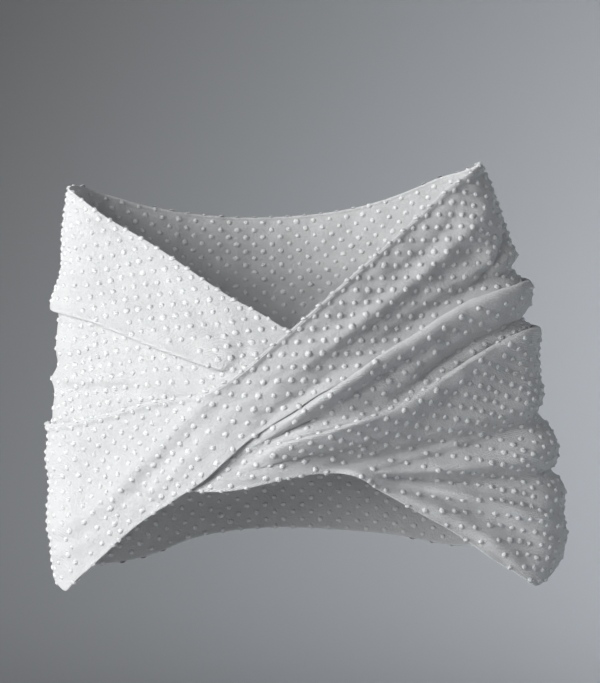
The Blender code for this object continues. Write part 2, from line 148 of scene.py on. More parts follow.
OverRow = namedtuple("OverRow", "around top hem stand")
OVER_FRONT = [
    OverRow(-56, 262, 410, 6.5),
    OverRow(-50, 261, 415, 6.5),
    OverRow(-46, 261, 421, 6.2),
    OverRow(-44, 260, 424, 6),
    OverRow(-42, 259, 417, 5.8),
    OverRow(-40, 257, 409, 5.5),
    OverRow(-36, 252, 394, 5),
    OverRow(-32, 248, 377, 4.9),
    OverRow(-28, 242, 360, 4.9),
    OverRow(-23, 236, 342, 4.9),
    OverRow(-18, 232, 326, 4.9),
    OverRow(-13, 228, 309, 4.9),
    OverRow(-9, 217, 290, 4.9),
    OverRow(-5, 202, 270, 4.9),
    OverRow(-1.5, 185, 257, 4.9),
    OverRow(1.6, 170, 245.5, 4.9),
    OverRow(6, 148, 227.5, 4.9),
    OverRow(11, 124, 213, 4.9),
    OverRow(16, 102, 195, 4.9),
    OverRow(22, 77, 178, 4.9),
    OverRow(28, 53, 159, 4.9),
    OverRow(34, 31, 143, 4.9),
    OverRow(40, 15, 132, 4.9),
    OverRow(46, 4, 123, 4.9),
    OverRow(51, 1, 118, 4.9),
    OverRow(56, 4, 110, 4.9),
]

BackRow = namedtuple("BackRow", "around top hem")
BACK = [
    BackRow(56, 4, 382),
    BackRow(64, 11, 386),
    BackRow(72, 24, 389),
    BackRow(82, 38, 379),
    BackRow(92, 46, 373),
    BackRow(100, 49, 371),
    BackRow(108, 50, 373),
    BackRow(118, 47, 382),
    BackRow(128, 40, 401),
    BackRow(136, 31, 408),
    BackRow(144, 22, 410),
]

# -------- pleats, folds and creases
Pleat = namedtuple("Pleat", "opens depth lower upper reach_up reach_down")
PLEATS = {
    "pleat_1": Pleat("down", 8.0, 3.6, 7.4, 30, 12),
    "pleat_a": Pleat("up", 7.5, 8.4, 12.4, 12, 30),
    "pleat_b": Pleat("up", 7.0, 4.2, 9.0, 14, 22),
}
Fold = namedtuple(
    "Fold", "name start_around start_down mid_down end_around end_down height width start_fade end_fade"
)
FRONT_FOLDS = [
    Fold("band trough above", 2, 184, 112, 46, 20, -2.5, 8, 10, 8),
    Fold("band ridge", 3, 200, 121, 44, 32, 5.5, 9, 8, 8),
    Fold("band trough below", 4, 212, 134, 44, 74, -5.5, 11, 8, 8),
    Fold("above pleat a", -5, 266, 209, 22, 162, -3.5, 7, 5, 6),
    Fold("above pleat a, right", 20, 171, 123, 54, 102, -8.5, 9, 6, 2),
    Fold("above pleat b, right", 20, 228, 171, 56, 152, -6, 5, 6, 2),
    Fold("below pleat a", 0, 264, 222, 26, 181, -6, 6.5, 4, 12),
    Fold("brow", -28, 312, 247, -2, 186, 3.4, 9, 6, 5),
    Fold("brow, left", -48, 366, 350, -27, 305, 3.4, 10, 6, 5),
    Fold("second ridge", -26, 332, 290, -6, 238, 2.2, 8, 5, 5),
    Fold("between the ridges", -28, 324, 270, -5, 214, -0.8, 7, 5, 5),
    Fold("dimple", -28, 322, 330, -19, 340, -3.5, 4, 2.5, 2.5),
    Fold("line 2 ridge", -56, 215, 216, -28, 214, 3.4, 7, 2, 12),
    Fold("below pleat 1", -50, 157, 184, -8, 217, -3.5, 7, 4, 5),
    Fold("line 2 trough", -56, 200, 202, -30, 202, -3, 9, 2, 12),
    Fold("faint ridge", -50, 182, 183, -34, 184, 1.8, 6, 4, 4),
    Fold("left sag", -56, 96, 108, -20, 132, -3.5, 22, 6, 8),
    Fold("lower left sag", -56, 320, 318, -30, 290, -3.5, 18, 4, 8),
    Fold("lobe", 0, 271, 258, 15, 249, 6, 5, 3, 4),
    Fold("trough 3", 3, 290, 277, 56, 240, -12, 12, 6, 2),
    Fold("ridge 4", 10, 301, 289, 33, 272, 5.5, 3.6, 3, 8),
    Fold("ridge 4, lower", 10, 305, 301, 38, 298, 4.5, 3.6, 3, 9),
    Fold("ridge 4, right", 26, 300, 288, 56, 278, 4.5, 11, 10, 2),
    Fold("trough 4", 14, 311, 312, 56, 304, -8.5, 7, 5, 2),
    Fold("ridge 5", 12, 308, 328, 46, 362, 7.5, 5.5, 4, 7),
    Fold("trough 5", 15, 318, 336, 40, 372, -5.5, 6, 4, 5),
    Fold("ridge 6", 11, 303, 343, 40, 404, 3.5, 6, 4, 4),
]
OVER_FOLDS = [
    Fold("hem lift", -18, 326, 304, -6, 272, 1.4, 14, 6, 4),
]
UNDER_FOLDS = [
    Fold("hollow under the crossing", -15, 308, 298, -4, 290, -2.5, 12, 4, 3),
    Fold("hem roll", -12, 314, 302, 9, 297, 3, 6, 3, 4),
]
BACK_FOLDS = [
    Fold("left pleat running out", 56, 112, 96, 84, 84, 3, 11, 2, 14),
    Fold("left trough running out", 56, 236, 214, 92, 190, -4, 16, 2, 14),
    Fold("left ridge running out", 56, 300, 268, 96, 240, 4, 16, 2, 14),
    Fold("right pleat running out", 112, 124, 132, 144, 148, 3, 11, 16, 2),
    Fold("right edge running out", 104, 222, 240, 144, 270, 3.5, 14, 16, 2),
    Fold("middle sag above", 74, 112, 132, 126, 108, 3.5, 18, 12, 12),
    Fold("middle sag below", 78, 318, 306, 124, 322, -3.5, 20, 10, 12),
]
# Smaller creases that only the look needs, a row each.
FRONT_CREASES = [
    Fold("gather 1", 9, 296, 293, 26, 288, -1.4, 3, 3, 6),
    Fold("gather 2", 8, 300, 303, 28, 310, 1.3, 3, 3, 6),
    Fold("gather 3", 6, 292, 282, 24, 270, 1.4, 3.6, 3, 6),
    Fold("gather 4", 12, 310, 326, 26, 352, 1.2, 3.2, 2, 5),
    Fold("gather 5", -2, 296, 290, 13, 291, 1.2, 4, 3, 5),
    Fold("gather 6", 14, 313, 321, 34, 327, -1.3, 3.2, 2, 6),
    Fold("under lip b", 10, 266, 252, 34, 206, -1.6, 5, 5, 6),
    Fold("between a and b", 16, 226, 204, 42, 156, 1.8, 9, 6, 6),
    Fold("between a and b, low", 18, 232, 208, 42, 166, -1.6, 6, 6, 5),
    Fold("drag 1", -46, 232, 236, -22, 226, 1, 4, 6, 5),
    Fold("drag 2", -40, 196, 204, -16, 214, -1.4, 4.5, 6, 4),
    Fold("drag 3", -50, 120, 132, -26, 158, 1.4, 6, 6, 6),
    Fold("drag 4", -34, 100, 124, -12, 160, -1.2, 6, 6, 5),
    Fold("drag 5", -54, 276, 282, -36, 286, -1.6, 6, 3, 6),
    Fold("drag 6", -44, 298, 306, -26, 300, 1.4, 7, 6, 5),
    Fold("drag 7", -50, 392, 384, -34, 366, 1.6, 7, 4, 4),
    Fold("drag 8", -24, 150, 172, -6, 194, 1.2, 5, 5, 4),
    Fold("band crease", -8, 236, 204, 12, 160, -1.4, 4, 4, 5),
    Fold("band crease, low", -6, 254, 236, 8, 210, -1.2, 3.6, 3, 4),
    Fold("band crease, high", 14, 124, 98, 36, 44, -1.6, 5, 5, 6),
    Fold("right crease 1", 38, 204, 214, 56, 204, -1.8, 7, 4, 2),
    Fold("right crease 2", 42, 336, 330, 56, 322, 2.2, 7, 4, 2),
    Fold("right crease 3", 46, 286, 280, 56, 276, -1.4, 4, 3, 2),
    Fold("right crease 4", 44, 142, 138, 56, 138, 2, 6, 3, 2),
    Fold("right crease 5", 48, 360, 352, 56, 350, -2, 6, 4, 2),
    Fold("shoulder crease", 36, 122, 96, 48, 62, -5, 5, 3, 4),
    Fold("shoulder facet", 46, 98, 90, 56, 84, 3, 8, 4, 2),
]
BACK_CREASES = [
    Fold("back crease 1", 60, 150, 148, 86, 138, -1.4, 6, 5, 8),
    Fold("back crease 2", 112, 168, 178, 142, 186, 1.5, 7, 8, 4),
    Fold("back crease 3", 66, 342, 330, 92, 316, 1.6, 8, 6, 8),
    Fold("back crease 4", 108, 342, 352, 140, 350, 1.6, 8, 8, 4),
    Fold("back crease 5", 84, 82, 92, 118, 84, 1.4, 8, 10, 10),
    Fold("back crease 6", 90, 202, 216, 128, 204, -1.4, 9, 10, 10),
    Fold("back crease 7", 118, 290, 300, 144, 302, -1.5, 7, 8, 2),
    Fold("back crease 8", 58, 60, 66, 80, 76, -1.3, 7, 3, 8),
]


# -------- curves
def blend(low, high, value):
    """Ease from 0 to 1 as the value goes from low to high."""
    t = np.clip((np.asarray(value, float) - low) / (high - low), 0.0, 1.0)
    return t * t * (3.0 - 2.0 * t)


def smooth(places, values, wanted):
    """Run a smooth curve through the values and read it at the wanted places."""
    places = np.asarray(places, float)
    values = np.asarray(values, float)
    wanted = np.clip(wanted, places[0], places[-1])
    slope = np.gradient(values, places)
    i = np.clip(np.searchsorted(places, wanted) - 1, 0, len(places) - 2)
    width = places[i + 1] - places[i]
    t = (wanted - places[i]) / width
    start = (2 * t**3 - 3 * t**2 + 1) * values[i] + (t**3 - 2 * t**2 + t) * width * slope[i]
    end = (-2 * t**3 + 3 * t**2) * values[i + 1] + (t**3 - t**2) * width * slope[i + 1]
    return start + end


def column(rows, name, wanted):
    """Read one named column of a table between its rows."""
    return smooth([row.around for row in rows], [getattr(row, name) for row in rows], wanted)


def rounded(points, counts):
    """Smooth curve through the points, with `counts` steps between each two of them."""
    p = np.asarray(points, float)
    p = np.concatenate([[2 * p[0] - p[1]], p, [2 * p[-1] - p[-2]]])
    out = []
    for k, count in enumerate(counts):
        a, b, c, d = p[k], p[k + 1], p[k + 2], p[k + 3]
        gaps = [max(math.hypot(*(q - r)) ** 0.5, 1e-4) for q, r in ((b, a), (c, b), (d, c))]
        t0 = 0.0
        t1 = gaps[0]
        t2 = t1 + gaps[1]
        t3 = t2 + gaps[2]
        t = np.linspace(t1, t2, count, endpoint=False)[:, None]
        ab = (t1 - t) / (t1 - t0) * a + (t - t0) / (t1 - t0) * b
        bc = (t2 - t) / (t2 - t1) * b + (t - t1) / (t2 - t1) * c
        cd = (t3 - t) / (t3 - t2) * c + (t - t2) / (t3 - t2) * d
        abc = (t2 - t) / (t2 - t0) * ab + (t - t0) / (t2 - t0) * bc
        bcd = (t3 - t) / (t3 - t1) * bc + (t - t1) / (t3 - t1) * cd
        out.append((t2 - t) / (t2 - t1) * abc + (t - t1) / (t2 - t1) * bcd)
    out.append(p[-2][None])
    return np.concatenate(out)


# -------- the figure's surface
OUTLINE_STEPS = 1440  # steps round the figure in which an outline is worked out
AROUND_STEP = 0.25  # percent between the places of it that are kept
DOWN_STEP = 5.0  # mm between one outline and the next
NUDGE = 0.6  # percent either side at which the level direction is read
AROUND_GRID = np.linspace(-100.0, 100.0, round(200 / AROUND_STEP) + 1)
DOWN_GRID = np.arange(-20.0, 441.0, DOWN_STEP)


def outline(down):
    """Outline of the figure at one height: a taut line round the chest and both arms."""
    size = {n: float(smooth([r.down for r in FIGURE], [getattr(r, n) for r in FIGURE], down))
            for n in Level._fields[1:]}
    turn = np.radians(np.linspace(-270.0, 90.0, OUTLINE_STEPS + 1))
    right = np.cos(turn)
    back = np.sin(turn)
    depth = np.where(back < 0, size["chest_front"], size["chest_back"])
    chest = np.sqrt((size["chest_half"] * right) ** 2 + (depth * back) ** 2)
    reach = [chest]
    swing = [(depth**2 - size["chest_half"] ** 2) * right * back / chest]
    for arm in ("left_arm", "right_arm"):
        reach.append(size[arm] * right + size["arm_back"] * back + size["arm_radius"])
        swing.append(-size[arm] * back + size["arm_back"] * right)
    reach = np.array(reach)
    share = np.exp((reach - reach.max(0)) / JOIN_SOFT)
    taut = reach.max(0) + JOIN_SOFT * np.log(share.sum(0))
    drift = (share * np.array(swing)).sum(0) / share.sum(0)
    x = taut * right - drift * back
    y = taut * back + drift * right
    walked = np.concatenate([[0.0], np.cumsum(np.hypot(np.diff(x), np.diff(y)))])
    half = walked[OUTLINE_STEPS // 2]
    whole = walked[-1]
    way = np.where(walked < half, walked / half - 1.0, (walked - half) / (whole - half)) * 100.0
    return np.interp(AROUND_GRID, way, x), np.interp(AROUND_GRID, way, y)


OUTLINES = np.array([outline(down) for down in DOWN_GRID])


def figure_point(around, down):
    """Place on the figure, in mm, with z measured down from the top of the cloth."""
    around = np.asarray(around, float)
    down = np.asarray(down, float)
    around = np.where(around > 100.0, around - 200.0, around)
    a = np.clip((around - AROUND_GRID[0]) / AROUND_STEP, 0.0, len(AROUND_GRID) - 1.001)
    d = np.clip((down - DOWN_GRID[0]) / DOWN_STEP, 0.0, len(DOWN_GRID) - 1.001)
    i = a.astype(int)
    k = d.astype(int)
    p = a - i
    q = d - k
    flat = [
        (OUTLINES[k, axis, i] * (1 - p) + OUTLINES[k, axis, i + 1] * p) * (1 - q)
        + (OUTLINES[k + 1, axis, i] * (1 - p) + OUTLINES[k + 1, axis, i + 1] * p) * q
        for axis in (0, 1)
    ]
    return np.stack([flat[0], flat[1], -down], -1)


def way_round(around, down):
    """Level direction round the figure at a place."""
    step = figure_point(around + NUDGE, down) - figure_point(around - NUDGE, down)
    return step / np.linalg.norm(step, axis=-1, keepdims=True)


def lifted(around, down, lift):
    """Place on the cloth: `lift` mm straight out from the figure."""
    level = way_round(around, down)
    out = np.stack([level[..., 1], -level[..., 0], np.zeros_like(down)], -1)
    return figure_point(around, down) + out * lift[..., None]


# -------- folds
def relief(folds, around, down):
    """Total swell of the soft folds at a place, in mm.

    A fold's line is a parabola through its start, middle and end, followed a little past both ends.
    """
    total = np.zeros(np.broadcast(around, down).shape)
    for fold in folds:
        t = (around - fold.start_around) / (fold.end_around - fold.start_around)
        t = np.clip(t, -0.2, 1.2)
        line = ((1 - t) * (1 - 2 * t) * fold.start_down + 4 * t * (1 - t) * fold.mid_down
                + t * (2 * t - 1) * fold.end_down)
        fall = ((4 * t - 3) * fold.start_down + (4 - 8 * t) * fold.mid_down
                + (4 * t - 1) * fold.end_down)
        slope = fall / ((fold.end_around - fold.start_around) * PERCENT)
        away = (down - line) / np.sqrt(1.0 + slope**2) / fold.width
        height = fold.height * np.exp(-away**2)
        if fold.start_around not in SEAMS:
            height = height * blend(fold.start_around - fold.start_fade,
                                    fold.start_around + fold.start_fade, around)
        if fold.end_around not in SEAMS:
            height = height * (1.0 - blend(fold.end_around - fold.end_fade,
                                           fold.end_around + fold.end_fade, around))
        total = total + height
    return total


# Slow uneven ripple that keeps the cloth from looking machined: a row for each wave.
Wave = namedtuple("Wave", "length slant phase height")
WAVES = [
    Wave(61, 0.35, 0.4, 0.35),
    Wave(47, 1.1, 2.1, 0.3),
    Wave(38, -0.6, 4, 0.26),
    Wave(31, 2.2, 1.3, 0.2),
    Wave(25, 0.05, 5.2, 0.18),
    Wave(19, 1.7, 3.3, 0.12),
]


def ripple(around, down):
    """Small uneven ripple, in mm."""
    x = np.asarray(around) * PERCENT
    total = np.zeros(np.broadcast(around, down).shape)
    for wave in WAVES:
        along = x * math.cos(wave.slant) + down * math.sin(wave.slant)
        total = total + wave.height * np.sin(along * 2 * math.pi / wave.length + wave.phase)
    return total


def pleat_path(pleat, fold_at, above, below, show):
    """Nine places through a pleat as (down, lift).

    The pleat is flat cloth where `show` is 0, a step at a half, and cloth turned under at 1.
    """
    up = pleat.upper
    low = pleat.lower
    run = pleat.depth
    flat = [(along, 0.0) for along in np.linspace(above - fold_at, below - fold_at, 9)]
    if pleat.opens == "up":
        step = [(-3, 0), (-0.8, 0.15 * up), (-0.3, 0.35 * up), (-0.3, 0.55 * up), (0, 0.8 * up),
                (1.4, up), (7, 0.96 * up)]
        turned = [(run - 2, 0), (run, low / 2), (run - 2, low), (1.4, low), (0, (low + up) / 2),
                  (1.4, up), (7, 0.96 * up)]
        last = (0.0, 0.4 * up)
    else:
        step = [(-7, 0.96 * up), (-1.4, up), (0, 0.8 * up), (0.3, 0.55 * up), (0.3, 0.35 * up),
                (0.8, 0.15 * up), (3, 0)]
        turned = [(-7, 0.96 * up), (-1.4, up), (0, (low + up) / 2), (-1.4, low), (2 - run, low),
                  (-run, low / 2), (2 - run, 0)]
        last = (0.4 * up, 0.0)
    step = [(above - fold_at, last[0])] + step + [(below - fold_at, last[1])]
    turned = [(above - fold_at, last[0])] + turned + [(below - fold_at, last[1])]
    rise = float(blend(0.0, 0.5, show))
    turn = float(blend(0.5, 1.0, show))
    shape = np.array(flat) + (np.array(step) - flat) * rise + (np.array(turned) - step) * turn
    return [(fold_at + along, lift) for along, lift in shape]


# How many points each step of the under front's section is divided into: the top edge, the three
# pleats and the plain line between them, and the rest down to the hem.
UNDER_COUNTS = (
    [2, 16] + [6, 3, 3, 3, 3, 3, 3, 6] + [8] + [3, 3] + [8] + [4, 3, 4, 4, 3, 3, 4, 8]
    + [8] + [6, 3, 3, 3, 3, 3, 4, 8] + [8] * 8 + [2]
)
PLEAT_B_STEP = 29  # the steps of the section down to the fold of the last pleat
HEM_STEPS = 8  # the steps from that pleat to the hem


def under_path(around):
    """Section of the under front from its top edge to its hem."""
    row = {n: float(column(UNDER_FRONT, n, around)) for n in UnderRow._fields[1:]}
    lines = ["top", "pleat_1", "line_2", "pleat_a", "pleat_b", "hem"]
    path = [(row["top"], 0.0), (row["top"] + EDGE_STEP, 0.0)]
    for before, here, after in zip(lines, lines[1:], lines[2:]):
        above = (row[before] + row[here]) / 2 + 1
        below = (row[here] + row[after]) / 2 - 1
        if here == "line_2":
            path.append((max(above, row[here] - LINE_REACH), 0.0))
            path.append((row[here], 0.0))
            path.append((min(below, row[here] + LINE_REACH), 0.0))
            continue
        pleat = PLEATS[here]
        above = max(above, row[here] - pleat.reach_up)
        below = min(below, row[here] + pleat.reach_down)
        show = np.clip(row["show_" + here[-1]], 0.0, 1.0)
        path += pleat_path(pleat, row[here], above, below, show)
    last = path[-1][0]
    for t in np.linspace(0.0, 1.0, HEM_STEPS + 1)[1:]:
        path.append((last + (row["hem"] - EDGE_STEP - last) * t, 0.0))
    path.append((row["hem"], 0.0))
    down, lift = rounded(path, UNDER_COUNTS).T
    top = float(column(OVER_FRONT, "top", around))
    hem = float(column(OVER_FRONT, "hem", around))
    hidden = blend(HIDDEN_FROM, HIDDEN_FULL, np.minimum(down - top, hem - down))
    swell = relief(FRONT_FOLDS + UNDER_FOLDS + FRONT_CREASES, around, down) + ripple(around, down)
    swell = swell + (np.minimum(swell, 0.0) - HIDDEN_SINK - swell) * hidden
    return down, lift + NEAR + swell


def places_down(top, hem, count):
    """Places from a top edge to the hem, a little closer together in the band below the top."""
    return np.concatenate([
        np.linspace(top, top + TOP_BAND, TOP_POINTS, endpoint=False),
        np.linspace(top + TOP_BAND, hem, count),
    ])


def rolled_rim(from_top, ridge, dip):
    """Swell of a rolled top edge and of the dip below it, in mm."""
    return (ridge * np.exp(-((from_top - RIM_DOWN) / RIM_WIDTH) ** 2)
            - dip * np.exp(-((from_top - DIP_DOWN) / DIP_WIDTH) ** 2))


def over_path(around):
    """Section of the over front from its top edge to its hem."""
    row = {n: float(column(OVER_FRONT, n, around)) for n in OverRow._fields[1:]}
    down = places_down(row["top"], row["hem"], OVER_POINTS)
    rim = rolled_rim(down - row["top"], RIM_RIDGE, RIM_DIP)
    swell = relief(FRONT_FOLDS + OVER_FOLDS + FRONT_CREASES, around, down) + ripple(around, down)
    return down, row["stand"] + rim + swell


SEAM_HEIGHTS = np.arange(0.0, 430.0, 1.0)
SEAM_NEAR = 0.8  # mm up or down within which a piece of the section counts
SEAM_SOFT = 2  # mm either side over which the result is evened out


def seam_stand(around):
    """How far out the cloth in front stands at a seam, so the back meets it flush."""
    stand = np.full_like(SEAM_HEIGHTS, -np.inf)
    for path in (under_path, over_path):
        down, lift = path(around)
        for d1, l1, d2, l2 in zip(down, lift, down[1:], lift[1:]):
            low = min(d1, d2) - SEAM_NEAR
            high = max(d1, d2) + SEAM_NEAR
            inside = (SEAM_HEIGHTS >= low) & (SEAM_HEIGHTS <= high)
            stand = np.where(inside, np.maximum(stand, max(l1, l2)), stand)
    stand = np.where(np.isinf(stand), NEAR, stand)
    window = 2 * SEAM_SOFT + 1
    return np.convolve(np.pad(stand, SEAM_SOFT, mode="edge"), np.ones(window) / window, mode="valid")


STAND = {side: seam_stand(side) for side in (SEAM, -SEAM)}


def back_path(around):
    """Section of the back from its top edge to its hem."""
    row = {n: float(column(BACK, n, around)) for n in BackRow._fields[1:]}
    down = places_down(row["top"], row["hem"], BACK_POINTS)
    left = 1.0 - blend(SEAM, SEAM + RUN_OUT, around)
    right = blend(200 - SEAM - RUN_OUT, 200 - SEAM, around)
    own = 1 - left - right
    lift = (left * np.interp(down, SEAM_HEIGHTS, STAND[SEAM])
            + right * np.interp(down, SEAM_HEIGHTS, STAND[-SEAM])
            + own * BACK_LIFT)
    swell = relief(BACK_FOLDS + BACK_CREASES, around, down) + ripple(around + BACK_PHASE, down)
    swell = swell + rolled_rim(down - row["top"], BACK_RIM_RIDGE, 0.0)
    return down, lift + swell * own


# -------- the cloth as a grid
def cloth_grid(stations, path):
    """Middle of the cloth in metres, and the way it faces."""
    places = []
    ways = []
    for around in stations:
        down, lift = path(around)
        same = np.full(len(down), around)
        places.append(lifted(same, down, lift))
        ways.append(way_round(same, down))
    grid = np.array(places)
    grid[..., 2] += ORIGIN_DOWN
    grid *= MM
    along = np.gradient(grid, axis=0)
    across = np.gradient(grid, axis=1)
    facing = np.cross(across, along)
    facing /= np.linalg.norm(facing, axis=-1, keepdims=True)
    level = np.array(ways)
    for end in (0, -1):
        leans = (facing[end] * level[end]).sum(-1, keepdims=True)
        facing[end] -= leans * level[end]
        facing[end] /= np.linalg.norm(facing[end], axis=-1, keepdims=True)
    return grid, facing


MEASURE_ROWS = 46  # the coarser grid on which the flat measure is worked out
MEASURE_COLUMNS = 50


def cloth_measure(grid, facing):
    """How far along and across the cloth each place of the grid lies, in metres, as if laid flat."""
    rows = np.unique(np.linspace(0, grid.shape[0] - 1, MEASURE_ROWS).round().astype(int))
    cols = np.unique(np.linspace(0, grid.shape[1] - 1, MEASURE_COLUMNS).round().astype(int))
    p = grid[np.ix_(rows, cols)]
    n = facing[np.ix_(rows, cols)]
    grain = np.gradient(p, axis=0)
    grain -= (grain * n).sum(-1, keepdims=True) * n
    grain /= np.linalg.norm(grain, axis=-1, keepdims=True)
    cross = np.cross(grain, n)
    count = p.shape[0] * p.shape[1]
    index = np.arange(count).reshape(p.shape[:2])
    system = np.zeros((count, count))
    goal = np.zeros((count, 2))
    for a, b in ((np.s_[:-1, :], np.s_[1:, :]), (np.s_[:, :-1], np.s_[:, 1:])):
        step = p[b] - p[a]
        along = (step * (grain[a] + grain[b]) / 2).sum(-1).ravel()
        across = (step * (cross[a] + cross[b]) / 2).sum(-1).ravel()
        i = index[a].ravel()
        j = index[b].ravel()
        for row, col, share in ((i, i, 1.0), (j, j, 1.0), (i, j, -1.0), (j, i, -1.0)):
            np.add.at(system, (row, col), share)
        for k, d in enumerate((along, across)):
            np.add.at(goal[:, k], j, d)
            np.add.at(goal[:, k], i, -d)
    system[0, 0] += 1.0
    flat = np.linalg.solve(system, goal).reshape(p.shape[0], p.shape[1], 2)
    every_row = np.arange(grid.shape[0])
    every_col = np.arange(grid.shape[1])
    wide = np.stack([[np.interp(every_col, cols, flat[r, :, k]) for r in range(len(rows))]
                     for k in (0, 1)], -1)
    full = np.empty(grid.shape[:2] + (2,))
    for k in (0, 1):
        for c in every_col:
            full[:, c, k] = np.interp(every_row, rows, wide[:, c, k])
    return full


def edge_distance(grid):
    """How far each place is from the nearer long edge, measured over the cloth."""
    step = np.linalg.norm(np.diff(grid, axis=1), axis=-1)
    walked = np.concatenate([np.zeros((len(grid), 1)), np.cumsum(step, axis=1)], axis=1)
    return np.minimum(walked, walked[:, -1:] - walked)


def smooth_piece(name, verts, faces, material):
    """A smooth-shaded piece from its places and faces."""
    mesh = bpy.data.meshes.new(name)
    mesh.from_pydata(verts, [], faces)
    mesh.polygons.foreach_set("use_smooth", [True] * len(faces))
    mesh.materials.append(material)
    mesh.update()
    piece = bpy.data.objects.new(name, mesh)
    bpy.context.scene.collection.objects.link(piece)
    return piece


def cloth_mesh(name, grid, facing, flat, material):
    """Thin closed shell on the grid, with soft round edges and the cloth's own measure as its UVs."""
    stations, points = grid.shape[:2]
    extra = np.exp(-(edge_distance(grid) / EDGE_REACH) ** 2)
    half = (CLOTH_THICK + (EDGE_THICK - CLOTH_THICK) * extra)[..., None] / 2
    outer = grid + facing * half
    inner = grid - facing * half
    away = np.zeros_like(grid)
    for here, beside in ((0, 1), (-1, -2)):
        out = grid[:, here] - grid[:, beside]
        away[:, here] = out / np.linalg.norm(out, axis=-1, keepdims=True)
    index = np.arange(stations * points).reshape(stations, points)
    count = stations * points
    a = index[:-1, :-1].ravel()
    b = index[1:, :-1].ravel()
    c = index[1:, 1:].ravel()
    d = index[:-1, 1:].ravel()
    faces = [np.stack([a, d, c, b], -1), np.stack([a, b, c, d], -1) + count]
    border = np.concatenate([index[:, 0], index[-1, 1:], index[-2::-1, -1], index[0, -2:0:-1]])
    verts = [outer.reshape(-1, 3), inner.reshape(-1, 3)]
    rings = [border]
    flat_grid = grid.reshape(-1, 3)[border]
    flat_facing = facing.reshape(-1, 3)[border] * half.reshape(-1, 1)[border]
    flat_away = away.reshape(-1, 3)[border] * EDGE_THICK / 2
    for n, turn in enumerate(np.radians(EDGE_TURNS)):
        verts.append(flat_grid + flat_facing * math.cos(turn) + flat_away * math.sin(turn))
        rings.append(2 * count + n * len(border) + np.arange(len(border)))
    rings.append(border + count)
    for ring, below in zip(rings, rings[1:]):
        faces.append(np.stack([ring, np.roll(ring, -1), np.roll(below, -1), below], -1))
    faces = np.concatenate(faces)
    verts = np.concatenate(verts)
    measure = flat.reshape(-1, 2)
    measure = np.concatenate([measure, measure] + [measure[border]] * len(EDGE_TURNS))
    piece = smooth_piece(name, verts.tolist(), faces.tolist(), material)
    mesh = piece.data
    layer = mesh.uv_layers.new(name="cloth")
    layer.data.foreach_set("uv", measure[faces.ravel()].ravel().astype(np.float32))
    # The cut ends meet the next stretch, so they are creased and the cloth runs on to their rim.
    at_end = np.zeros(len(verts), bool)
    for end in (index[0], index[-1]):
        at_end[end] = True
        at_end[end + count] = True
    ends = np.empty(2 * len(mesh.edges), np.int32)
    mesh.edges.foreach_get("vertices", ends)
    mesh.edges.foreach_set("use_edge_sharp", at_end[ends.reshape(-1, 2)].all(1))
    mesh.update()
    return piece


# -------- the raised dots
def dot_form(sides):
    """One dot as a low dome of rings (radius, height), as unit places and faces."""
    rings = [(1.34, -0.22), (1.14, 0.16), (0.92, 0.52), (0.64, 0.80), (0.33, 0.95)]
    turn = np.arange(sides) * 2 * math.pi / sides
    verts = [[r * math.cos(t), r * math.sin(t), h] for r, h in rings for t in turn]
    verts.append([0.0, 0.0, 1.0])
    faces = []
    for ring in range(len(rings) - 1):
        for k in range(sides):
            m = (k + 1) % sides
            faces.append((ring * sides + k, ring * sides + m, (ring + 1) * sides + m))
            faces.append((ring * sides + k, (ring + 1) * sides + m, (ring + 1) * sides + k))
    last = (len(rings) - 1) * sides
    for k in range(sides):
        faces.append((last + k, last + (k + 1) % sides, len(verts) - 1))
    return np.array(verts), np.array(faces)


SLANT = (0.31, 0.52, 0.79)  # a way along which no thread end is likely to lie


def tuft_ends(chance, count):
    """Cut thread ends that stand out of one dot, as closed three-sided points in the dot's frame."""
    lean = np.arccos(chance.uniform(0.05, 1.0, count))
    turn = chance.uniform(0, 2 * math.pi, count)
    out = np.stack([np.sin(lean) * np.cos(turn), np.sin(lean) * np.sin(turn), np.cos(lean)], -1)
    root = out * (DOT_RADIUS, DOT_RADIUS, DOT_HEIGHT) * 0.92
    aim = out + chance.uniform(-0.45, 0.45, (count, 3))
    tip = root + aim * chance.uniform(0.5, 1.0, (count, 1)) * TUFT_LENGTH
    side = np.cross(out, SLANT)
    side /= np.linalg.norm(side, axis=1, keepdims=True)
    other = np.cross(out, side)
    corners = [root + (side * math.cos(t) + other * math.sin(t)) * TUFT_WIDTH / 2
               for t in np.radians([0, 120, 240])]
    return np.stack(corners + [tip], 1).reshape(-1, 3)


TUFT_FACES = np.array([(0, 1, 3), (1, 2, 3), (2, 0, 3), (2, 1, 0)])
QUARTERS = 4  # a repeat of the weave may give one dot in each quarter of a stretch
Dot = namedtuple("Dot", "key place up run")


def rows_from_line(grid, line):
    """How far along a line of the grid, and how far from it, each place of the cloth lies."""
    start = line[:-1]
    step = np.diff(line, axis=0)
    long = np.linalg.norm(step, axis=1)
    walked = np.concatenate([[0.0], np.cumsum(long)])
    flat = np.empty(grid.shape[:2] + (2,))
    for i in range(grid.shape[0]):
        gap = grid[i][:, None] - start[None]
        t = np.clip((gap * step).sum(-1) / long**2, 0.0, 1.0)
        away = np.linalg.norm(gap - t[..., None] * step, axis=-1)
        near = away.argmin(1)
        pick = np.arange(len(near))
        flat[i, :, 0] = walked[near] + t[pick, near] * long[near]
        below = np.sign(line[min(i, len(line) - 1)][2] - grid[i][:, 2])
        flat[i, :, 1] = away[pick, near] * below + ROW_INSET
    return flat


